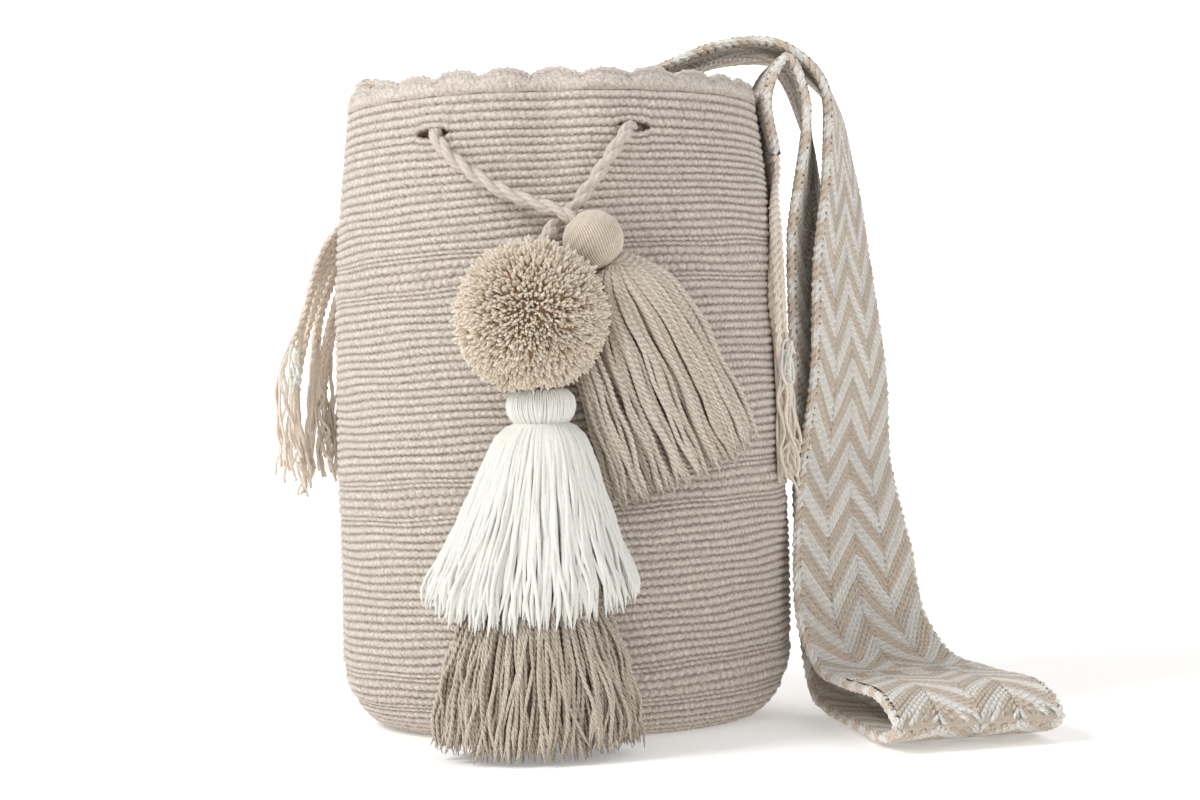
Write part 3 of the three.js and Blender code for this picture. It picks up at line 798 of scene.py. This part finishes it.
WHITE_PROFILE = (
    (8.6, 133.6), (13.2, 132), (17.4, 128.6), (20.6, 122), (26.2, 107), (33.8, 87), (42.2, 69), (44, 54),
)
WHITE_AXIS = ((5.4, -127.8), (-1.5, -131.5))
HEAD_PROFILE = (
    (0.5, 147.8), (6.5, 147.6), (10.6, 146.2), (12.8, 143.6), (13.3, 140.4),
    (12.6, 137), (10.8, 134.2), (8.8, 132.4), (7.8, 131),
)
LOWER_PROFILE = ((7, 92), (9, 90), (15.4, 83), (23.2, 68), (30.2, 52), (36.2, 36), (39.8, 16), (40.5, 2.5))
LOWER_AXIS = ((2.0, -131), (0.4, -131.5))


def white_tassel():
    paths, shade = skirt(WHITE_STRANDS, WHITE_PROFILE, WHITE_AXIS, 0.65, 21, (0.86, 1.0), 0.03, 0.12, 1.2)
    strands = strand_piece("white_strands", paths, shade, WHITE_SHADE, WHITE, 0.9, WHITE_YARN)
    head = threaded("white_head", HEAD_PROFILE, WHITE_AXIS[0], 72, 0.12, WHITE_SHADE, WHITE, WHITE_YARN)
    threads = tube_piece("white_head_threads", head_threads(), 0.42, linear(WHITE), WHITE_YARN, 5)
    return joined("white_tassel_yarn", strands, head, threads)


def head_threads():
    """Paths of loose threads from the top to the bottom of the white tassel's head"""
    rng = np.random.default_rng(23)
    t = np.linspace(0.15, 1, 14)
    turn = (np.arange(HEAD_THREADS) / HEAD_THREADS * TURN)[:, None]
    turn = turn + 0.08 * rng.normal(0, 1, (HEAD_THREADS, 1)) * (t - 0.5)
    radius, z = along_profile(HEAD_PROFILE, t)
    radius = radius + 0.25 + 0.4 * rng.random((HEAD_THREADS, 1))
    x = WHITE_AXIS[0][0] + radius * np.cos(turn)
    y = WHITE_AXIS[0][1] + radius * np.sin(turn)
    return np.stack([x, y, np.broadcast_to(z, x.shape)], -1)


def lower_tassel():
    outer, shade = skirt(LOWER_STRANDS, LOWER_PROFILE, LOWER_AXIS, 0.78, 31, (0.66, 1.02), 0.02, 0.04, 2.0)
    strands = strand_piece("lower_strands", outer, shade, SKIRT_SHADE, SKIRT_BEIGE, 0.8)
    stem = [(0.4, 114.5), (2.4, 114), (2.4, 104), (5, 102.5), (8, 101), (10.3, 96), (8, 91), (7, 88)]
    head = threaded("lower_head", stem, (2.0, -131.0), 26, 0.6, SKIRT_SHADE, SKIRT_BEIGE)
    return joined("lower_tassel_yarn", strands, head)


def bead():
    """A ball wound with thread from the rope's side to the tassel's side"""
    lean = math.radians(BEAD_ROPE_LEAN)
    axis = BEAD_SIDE * math.sin(lean) + np.array((0, 0, math.cos(lean)))
    front = unit(np.cross(axis, BEAD_SIDE))
    side = np.cross(front, axis)
    columns = BEAD_THREADS * 3
    a = np.arange(columns) / columns * TURN
    bump = np.cos(TURN * np.arange(columns) / 3)
    rings, tints = [], []
    for k in np.linspace(0.06, 0.985, 26) * math.pi:
        turned = a + 0.5 * math.cos(k)
        r = (BEAD_RADIUS - 0.3 + 0.34 * bump) * math.sin(k)
        ring = np.outer(r * np.cos(turned), side) + np.outer(r * np.sin(turned), front)
        rings.append(BEAD_CENTRE + ring + axis * (BEAD_RADIUS - 0.2) * math.cos(k))
        # painted shade: the grooves between the threads take the crease shade colour
        tints.append(mixed(CREASE_SHADE, FRINGE_PALE, 0.2 + 0.8 * smooth(bump, -0.8, 0.5)))
    return grid_piece("bead_threads", np.stack(rings), np.stack(tints), TUFT_YARN)


def clear_of(points, centre, radius):
    """Points moved out of a ball"""
    away = points - centre
    far = np.linalg.norm(away, axis=-1, keepdims=True)
    return np.where(far < radius, centre + away / np.maximum(far, 1e-6) * radius, points)


def outside(points, gap):
    """Points moved out of the bag's side"""
    least = bag_radius(points[..., 2]) + gap
    moved = points.copy()
    moved[..., :2] *= np.maximum(1, least / np.hypot(points[..., 0], points[..., 1]))[..., None]
    return moved


def bead_tassel():
    """Strands from the bead's lower right, falling in a fan that lies on the bag"""
    rng = np.random.default_rng(41)
    count, steps = BEAD_STRANDS, 16
    spread = np.sqrt(rng.random((count, 1))) ** 0.8
    turn = rng.random((count, 1)) * TURN
    across, outward = spread * np.cos(turn), spread * np.sin(turn)
    t = np.linspace(0, 1, steps)
    reach = 11 + (BEAD_TASSEL_LENGTH - 11) * (1 + 0.03 * rng.normal(0, 1, (count, 1)).clip(-2, 1.5)) * t
    width = np.interp(reach, (11, 17, 30, 50, 80, 104.5), (7, 19, 26, 31, 35.5, 38))
    thick = np.interp(reach, (11, 17, 30, 50, 80, 104.5), (5, 8.5, 10, 11, 11, 11))
    wave = 1.1 * np.sin(t * (6 + 5 * rng.random((count, 1))) + turn * 3) * t
    wave += 0.5 * np.sin(t * (15 + 9 * rng.random((count, 1))) + turn * 7) * smooth(t, 0, 0.3)
    lean = math.radians(BEAD_TASSEL_LEAN)
    x = across * width + wave
    along = reach * np.sqrt(np.clip(1 - 0.25 * (across * width / BEAD_TASSEL_LENGTH) ** 2, 0, 1))
    sideways = x * math.cos(lean) + along * math.sin(lean)
    down = along * math.cos(lean) - x * math.sin(lean)
    angle = BEAD_ANGLE + np.degrees(sideways / BEAD_TASSEL_LAY)
    z = BEAD_HEIGHT - down
    lay = np.maximum(BEAD_TASSEL_LAY - 1 + outward * thick, bag_radius(z) + 2.6)
    paths = around(angle, lay, z)
    neck_a = math.radians(128)
    neck = BEAD_CENTRE + 11.2 * (BEAD_SIDE * math.sin(neck_a) + np.array((0, 0, math.cos(neck_a))))
    start = neck + (across * 3)[..., None] * np.array((0.4, 0, 0.6))
    start = start + (outward * 3)[..., None] * np.array((0, -1, 0))
    blend = smooth(reach, 8, 26)[..., None]
    paths = start * (1 - blend) + paths * blend
    paths = clear_of(paths, BEAD_CENTRE, BEAD_RADIUS + 0.4)
    paths = clear_of(paths, POMPOM_CENTRE, POMPOM_RADIUS + 1.5)
    paths = outside(paths, 2.4)
    # painted shade: strands lying deeper against the bag and strands near the pompom are darker, times a
    # random tone per strand
    shade = (1 - 0.35 * rng.random((count, 1)) ** 2) * (0.55 + 0.45 * smooth(outward, -0.9, 0.3))
    shade = shade * np.ones(steps)
    shade = shade * (0.45 + 0.55 * smooth(np.linalg.norm(paths - POMPOM_CENTRE, axis=-1), 32, 44))
    return strand_piece("bead_tassel_yarn", paths, shade, SKIRT_SHADE, FRINGE_PALE, 1.1)


# Strap
def strap_route():
    right_end = BAG_HEIGHT - STRAP_OVERLAP
    left_end = BAG_HEIGHT - STRAP_OVERLAP - 7
    right_low = around(RIGHT_END_ANGLE, bag_radius(right_end) + STRAP_THICKNESS, right_end)
    right_high = around(RIGHT_END_ANGLE, RIM_RADIUS + 4, BAG_HEIGHT + 5)
    left_over = around(LEFT_END_ANGLE, RIM_RADIUS + 1, BAG_HEIGHT + 18.5)
    left_high = around(LEFT_END_ANGLE, RIM_RADIUS + 4.8, BAG_HEIGHT - 1)
    left_low = around(LEFT_END_ANGLE, bag_radius(left_end) + STRAP_THICKNESS, left_end)
    return [
        (*right_low, 102), (*right_high, 102),
        (103, 27, 293.5, 98), (112.8, 36, 272, 93), (113.5, 45.3, 215, 77), (117.9, 42.6, 150, 69),
        (122.4, 37.3, 80, 61), (127.8, 29.5, 35, 53), (134.6, 19.2, 10, 47), (143, 0.7, 4.8, 39),
        (158.1, -55.2, 4, 27), (171.5, -111.8, 4.6, 23), (176.2, -130.4, 11.5, 23), (171.2, -113.8, 20, 23),
        (154.8, -57.5, 21, 27), (141, -16.2, 25, 36), (132.6, -4.2, 42, 41), (129.8, 3.7, 70, 45),
        (127.6, 26.1, 110, 57), (130.3, 34.7, 150, 63), (128.9, 42.8, 200, 70), (128.3, 52.3, 250, 81),
        (122.8, 53.6, 284, 88), (101.9, 52, 301, 92), (76, 49, 302, 95), (47.3, 44.3, 292, 95),
        (4, 34.5, 273, 90), (-40, 37, 277.5, 80), (*left_over, 63), (*left_high, 60), (*left_low, 60),
    ]


class Strap:
    """The strap's middle line with its side, normal and width at each distance along it"""

    def __init__(self):
        route = np.array(strap_route(), float)
        count = 120 * (len(route) - 1) + 1
        self.middle = curve(route[:, :3], count)
        station = np.linspace(0, len(route) - 1, count)
        turn = np.radians(np.interp(station, np.arange(len(route)), route[:, 3]))
        self.side = np.stack([np.cos(turn), np.sin(turn), np.zeros(count)], -1)
        self.tangent = unit(np.gradient(self.middle, axis=0))
        self.normal = unit(np.cross(self.tangent, self.side))
        self.s = lengths_along(self.middle[None])[0]
        self.length = self.s[-1]
        widen = smooth(np.minimum(station, len(route) - 1 - station), 0.6, NARROW_STATIONS)
        self.width = STRAP_END_WIDTH + (STRAP_WIDTH - STRAP_END_WIDTH) * widen

    def pick(self, table, s):
        return np.stack([np.interp(s, self.s, table[:, k]) for k in range(3)], -1)

    def at(self, s, across, off):
        """A point at a distance along, a share of the width across and a height off the middle"""
        width = np.interp(s, self.s, self.width)
        place = self.pick(self.middle, s) + self.pick(self.side, s) * (np.asarray(across) * width)[..., None]
        return place + unit(self.pick(self.normal, s)) * np.asarray(off)[..., None]


STRAP = Strap()
WEAVE_HALF = 0.5 - 0.64 * SELVEDGE / STRAP_WIDTH
YARNS = YARNS_WHITE + YARNS_BEIGE


def chevron(across):
    """Rise of the chevrons, 0 at the edges and the middle line and 1 halfway between"""
    share = np.abs(across) / WEAVE_HALF
    return 1 - np.abs(2 * share - 1)


def weave_colour(number, rng, shape):
    white = (number % YARNS) < YARNS_WHITE
    base = np.where(white[:, None], linear(STRAP_WHITE), linear(STRAP_BEIGE))
    return base[:, None] * (0.9 + 0.14 * rng.random((len(number), 1, 1))) * np.ones(shape)[..., None]


def half_tubes(paths, normals, wide, high):
    """Points, faces and UVs of half-round yarns that lie on a surface"""
    across = unit(np.cross(normals, np.gradient(paths, axis=1)))
    a = np.radians((0, 50, 90, 130, 180))
    points = paths[:, :, None] + across[:, :, None] * (wide * np.cos(a))[:, None]
    points = points + normals[:, :, None] * (high * np.sin(a))[:, None]
    return many_grids(points, paths, False)


def weave_piece(name, paths, normals, tint):
    points, quads, uv = half_tubes(paths, normals, YARN_WIDE, YARN_HIGH)
    sides = len(points) // (len(paths) * paths.shape[1])
    return piece(name, points, quads, tint.reshape(-1, 3).repeat(sides, 0), STRAP_YARN, uv)


def strap_face(name, up, seed):
    """One face of the strap: yarns in chevrons that point to the strap's middle from both ends"""
    rng = np.random.default_rng(seed)
    half = STRAP.length / 2
    reach = half - MIDDLE_BARS
    number = np.arange(int((reach + CHEVRON_RISE) / YARN_PITCH) + 1)
    quarter = np.array((0.0, 0.08, 0.34, 0.66, 0.92))
    across = np.concatenate([k + quarter for k in range(4)] + [[4.0]])
    across = WEAVE_HALF * (across / 2 - 1)
    from_middle = number[:, None] * YARN_PITCH + (1 - chevron(across)) * CHEVRON_RISE - CHEVRON_RISE
    from_middle = from_middle + rng.normal(0, YARN_STRAY, from_middle.shape)
    from_middle = np.clip(from_middle, 0, reach)
    paths, normals, tints = [], [], []
    for way in (-1, 1):
        s = half + way * (from_middle + MIDDLE_BARS)
        grid = np.broadcast_to(across, s.shape)
        paths.append(STRAP.at(s, grid, np.full(s.shape, up * STRAP_CORE / 2)))
        normals.append(unit(STRAP.pick(STRAP.normal, s)) * up)
        tints.append(weave_colour(number, rng, s.shape))
    return weave_piece(name, np.concatenate(paths), np.concatenate(normals), np.concatenate(tints))


def middle_bars(name, up):
    """Yarns straight along the strap where the chevrons meet"""
    rng = np.random.default_rng(53)
    count = int(2 * WEAVE_HALF * STRAP_WIDTH / (2 * YARN_WIDE))
    across = np.linspace(-WEAVE_HALF, WEAVE_HALF, count)[:, None] * np.ones((1, 7))
    s = STRAP.length / 2 + np.linspace(-MIDDLE_BARS - 1, MIDDLE_BARS + 1, 7)[None] * np.ones((count, 1))
    number = np.round(chevron(across[:, 0]) * CHEVRON_RISE / YARN_PITCH).astype(int)
    paths = STRAP.at(s, across, np.full(s.shape, up * STRAP_CORE / 2))
    normals = unit(STRAP.pick(STRAP.normal, s)) * up
    return weave_piece(name, paths, normals, weave_colour(number, rng, s.shape))


def selvedge(name, way):
    """A twisted rope along one edge, white and beige as the chevrons reach it"""
    count = int(STRAP.length / 2.3)
    s = np.linspace(0, STRAP.length, count)
    width = np.interp(s, STRAP.s, STRAP.width)
    line = STRAP.at(s, way * (0.5 - SELVEDGE / 2 / width), np.zeros(count))
    paths = twisted(line, 2, 1.1, SELVEDGE_PITCH, phase=way)
    number = np.floor(np.abs(s - STRAP.length / 2) / YARN_PITCH).astype(int)
    white = (number % YARNS) < YARNS_WHITE
    tint = np.where(white[:, None], linear(STRAP_WHITE), linear(STRAP_BEIGE))
    return tube_piece(name, paths, 1.3, tint[None], ROPE_YARN, 6)


def strap_core():
    """The flat inside of the strap, a closed band"""
    count, half = CORE_STEPS, CORE_COLUMNS
    ring = 2 * half
    shape = (count, ring)
    s = np.linspace(0, STRAP.length, count)[:, None]
    across = np.linspace(-0.47, 0.47, half)
    across = np.concatenate([across, across[::-1]])
    off = np.concatenate([np.full(half, 0.5), np.full(half, -0.5)]) * STRAP_CORE
    points = STRAP.at(s * np.ones((1, ring)), np.broadcast_to(across, shape), np.broadcast_to(off, shape))
    caps = []
    for base in (0, (count - 1) * ring):
        caps += [[base + k, base + k + 1, base + ring - 2 - k, base + ring - 1 - k] for k in range(half - 1)]
    quads = np.vstack([grid_faces(count, ring, True)[0], np.array(caps)])
    # painted shade: the core, seen between the yarns, is darker than the beige yarn
    tint = np.broadcast_to(linear(STRAP_BEIGE) * 0.8, (count * ring, 3))
    return piece("strap_core", points.reshape(-1, 3), quads, tint, STRAP_YARN, np.zeros((len(quads), 4, 2)))


# Fringe
def fringe_start(end, share):
    across = (share - 0.5) * 0.84
    s = STRAP.length * end
    out = STRAP.tangent[-1 if end else 0] * (1 if end else -1)
    edge = STRAP.at(np.array(s), across, 0.0)
    return [edge + out * GAP, edge + out * 2 * FRINGE_DIAMETER]


def right_fringe(k):
    lie = FRINGE_DIAMETER / 2 + RIDGE_HEIGHT + GAP
    points = fringe_start(0, k / (RIGHT_FRINGE_COUNT - 1))
    points.append(around(80 + 4.6 * k, bag_radius(222) + lie + 0.8, 222))
    points.append(around(71 + 4 * k, bag_radius(190) + lie, 190))
    points.append(around(74 + 3 * k, bag_radius(150) + lie, 150))
    points.append(around(73 + 3 * k, bag_radius(110) + lie, 104 + 5 * (k % 3)))
    return points


def left_fringe(k):
    points = fringe_start(1, 1 - k / (LEFT_FRINGE_COUNT - 1))
    order = LEFT_FRINGE_COUNT - 1 - k
    points.append(around(-101 - 3.9 * order, 103.5 + 1.8 * k, 215))
    points.append(around(-92 - 3.7 * order, 105 + 2.8 * k, 185))
    points.append(around(-86 - 3.5 * order, 105.5 + 3.5 * k, 150))
    points.append(around(-84 - 3.3 * order, 104.5 + 3.6 * k, 104 + 6 * (k % 3)))
    return points


def fringe_cord(name, points, colour, seed):
    """A twisted cord with a frayed end"""
    rng = np.random.default_rng(seed)
    loose = [point + rng.normal(0, FRINGE_STRAY, 3) for point in points[3:]]
    whole = outside(even(points[:3] + loose, 1.5), FRINGE_YARN / 2 + RIDGE_HEIGHT)
    laid = int(len(whole) * rng.uniform(*TWISTED_SHARE))
    path = whole[:laid]
    cord = rope(name, path, FRINGE_YARN, FRINGE_PITCH, 2, ROPE_YARN, colour, 6)
    tail = whole[laid - 4 :: 2]
    t = np.linspace(0, 1, len(tail))[None, :, None]
    sway = unit(rng.normal(0, 1, (FRAYS, 1, 3))) * (0.8 + 4.5 * t**1.3)
    curl = rng.normal(0, 1.3, (FRAYS, 1, 3)) * np.sin(t * (10 + 14 * rng.random((FRAYS, 1, 1)))) * np.sqrt(t)
    frays = outside(tail[None] + sway + curl, 2.0)
    tint = linear(colour) * (0.85 + 0.15 * rng.random((FRAYS, 1, 1)))
    fray = tube_piece(name + "_fray", frays, 0.75, tint, TUFT_YARN, 5)
    return cord, fray, path


def tangle(name, centre, out, size, seed):
    """A small loose knot of thread in uneven loops"""
    rng = np.random.default_rng(seed)
    turn = np.linspace(0, 5 * TURN, 130)
    wide, tall, deep = rng.random(3) * TURN
    up = np.array((0.0, 0, 1))
    across = size * (0.5 + 0.25 * np.sin(0.43 * turn + wide)) * np.cos(turn)
    rise = size * ((0.9 + 0.4 * np.sin(0.31 * turn + tall)) * np.sin(turn) - 0.04 * turn)
    stand = 0.3 * size * np.sin(0.77 * turn + deep)
    path = centre + np.outer(across, np.cross(up, out)) + np.outer(rise, up) + np.outer(stand, out)
    return tube_piece(name, path[None], 0.6, linear(WHITE), WHITE_YARN, 5)


CROCHET = crochet_yarn("beige crochet")
ROPE_YARN = plied_yarn("pale rope yarn", 0.4, 4, 5.0)
STRAND_YARN = plied_yarn("loose strand yarn", 0.8, 2, 2.6, 0.3, 0.74)
TUFT_YARN = plied_yarn("pompom yarn", 0.2, 2, 3.0, 0.2, 0.95)
WHITE_YARN = plied_yarn("white strand yarn", 0.16, 2, 3.4, 0.1, 0.97, 0.02)
STRAP_YARN = plied_yarn("strap yarn", 0.9, 1.0, 3.2)


def dress():
    rows = len(ROW_KINDS)
    bag = [wall("body_low", 0, BODY_SPLIT), wall("body_mid", BODY_SPLIT, EYELET_ROW)]
    bag += [wall("body_top", EYELET_ROW, rows)]
    bag += [wall("inside_low", 0, EYELET_ROW, True, INSIDE_SAMPLES)]
    bag += [wall("inside_top", EYELET_ROW, rows, True, INSIDE_SAMPLES)]
    bag += [disc("base_outside", bag_radius(0.0) + 0.5, 1.3, -1)]
    bag += [disc("base_inside", bag_radius(4.0) - WALL, WALL + 2.0, 1)]
    for thing in bag:
        keep(thing, "bag_body")
    keep(edging(), "rim_edging")
    cord, path = drawstring()
    keep(cord, "drawstring")
    pendants = [pompom(), white_tassel(), lower_tassel(), bead(), bead_tassel()]
    slots = (("pompom", "tan_pompom"), ("white_tassel", "white_yarn"), ("lower_tassel", "beige_yarn"),
             ("wrapped_bead", "pale_cord"), ("bead_tassel", "beige_yarn"))
    for thing, (node, slot) in zip(pendants, slots):
        keep(thing, node)
    faces = [strap_face("strap_outer_weave", 1, 61), strap_face("strap_inner_weave", -1, 62)]
    faces += [middle_bars("strap_outer_bars", 1), middle_bars("strap_inner_bars", -1)]
    faces += [selvedge("strap_left_edge", -1), selvedge("strap_right_edge", 1)]
    core = strap_core()
    for thing in [core] + faces:
        keep(thing, "strap")
    hang_fringe("left", LEFT_FRINGE_COUNT, left_fringe, FRINGE_PALE, 70)
    hang_fringe("right", RIGHT_FRINGE_COUNT, right_fringe, FRINGE_PALE, 90)
    for name, node, angle, radius, z, size, seed in TANGLES:
        knot = tangle(name, around(angle, radius, z), around(angle, 1, 0), size, seed)
        keep(knot, node)


def hang_fringe(side, count, route, colour, seed):
    """The cords of one strap end, with another cord between each two"""
    for half in range(2 * count - 1):
        k = half / 2
        cord, fray, path = fringe_cord(f"{side}_fringe_yarn_{half + 1}", route(k), colour, seed + half)
        for thing in (cord, fray):
            keep(thing, f"{side}_fringe_cord_{int(k + 0.5) + 1}")


def keep(thing, node):
    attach(thing, "root")
    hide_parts(node)


# Studio
def plain_material(name, colour, glow=0.0):
    material = bpy.data.materials.new(name)
    material.use_nodes = True
    bsdf = material.node_tree.nodes["Principled BSDF"]
    bsdf.inputs["Base Color"].default_value = (*linear(colour), 1)
    bsdf.inputs["Roughness"].default_value = 0.9
    bsdf.inputs["Specular IOR Level"].default_value = 0.1
    bsdf.inputs["Emission Color"].default_value = (1, 1, 1, 1)
    bsdf.inputs["Emission Strength"].default_value = glow
    return material


def area_light(name, place, target, size, watts):
    lamp = bpy.data.lights.new(name, "AREA")
    lamp.shape = "DISK"
    lamp.size = size
    lamp.energy = watts
    thing = bpy.data.objects.new(name, lamp)
    thing.location = place
    thing.rotation_euler = (Vector(target) - Vector(place)).to_track_quat("-Z", "Y").to_euler()
    bpy.context.collection.objects.link(thing)


def studio():
    scene = bpy.context.scene
    scene.view_settings.view_transform = "Standard"
    world = bpy.data.worlds.new("studio")
    world.use_nodes = True
    world.node_tree.nodes["Background"].inputs["Color"].default_value = (1, 1, 1, 1)
    world.node_tree.nodes["Background"].inputs["Strength"].default_value = WORLD_LIGHT
    scene.world = world
    bpy.ops.mesh.primitive_plane_add(size=8, location=(0, 0, 0))
    floor = bpy.context.object
    floor.name = "floor"
    floor.data.materials.append(plain_material("floor", (250, 249, 247), FLOOR_GLOW))
    bpy.ops.mesh.primitive_plane_add(size=8, location=(-0.2, 2.6, 0), rotation=(math.pi / 2, 0, 0))
    backdrop = bpy.context.object
    backdrop.name = "backdrop"
    backdrop.data.materials.append(plain_material("backdrop", (250, 250, 250), BACKDROP_GLOW))
    area_light("key", (-1.2, -0.8, 1.45), (0, 0, 0.14), 0.7, KEY_WATTS)
    area_light("fill", (1.1, -1.35, 0.75), (0.05, 0, 0.14), 1.2, FILL_WATTS)
    turn = math.radians(VIEW_TURN)
    roll = math.radians(CAMERA_ROLL)
    forward = Vector((-math.sin(turn), math.cos(turn), 0))
    right = Vector((math.cos(turn), math.sin(turn), 0))
    up = Vector((0, 0, math.cos(roll))) + right * math.sin(roll)
    right = forward.cross(up)
    camera = bpy.data.cameras.new("camera")
    camera.lens = LENS
    camera.sensor_width = SENSOR
    thing = bpy.data.objects.new("camera", camera)
    place = (-forward * CAMERA_AWAY + Vector((math.cos(turn), math.sin(turn), 0)) * CAMERA_RIGHT) * MM
    place.z = CAMERA_HEIGHT * MM
    turned = Matrix((right, up, -forward)).transposed().to_4x4()
    thing.matrix_world = Matrix.Translation(place) @ turned
    bpy.context.collection.objects.link(thing)
    scene.camera = thing


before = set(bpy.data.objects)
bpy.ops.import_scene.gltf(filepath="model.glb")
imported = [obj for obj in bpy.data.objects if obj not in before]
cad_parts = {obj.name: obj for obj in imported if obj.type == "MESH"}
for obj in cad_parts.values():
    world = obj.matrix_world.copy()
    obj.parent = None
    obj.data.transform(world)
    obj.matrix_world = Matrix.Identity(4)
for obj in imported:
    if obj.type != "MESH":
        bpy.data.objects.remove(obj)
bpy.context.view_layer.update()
dress()
studio()
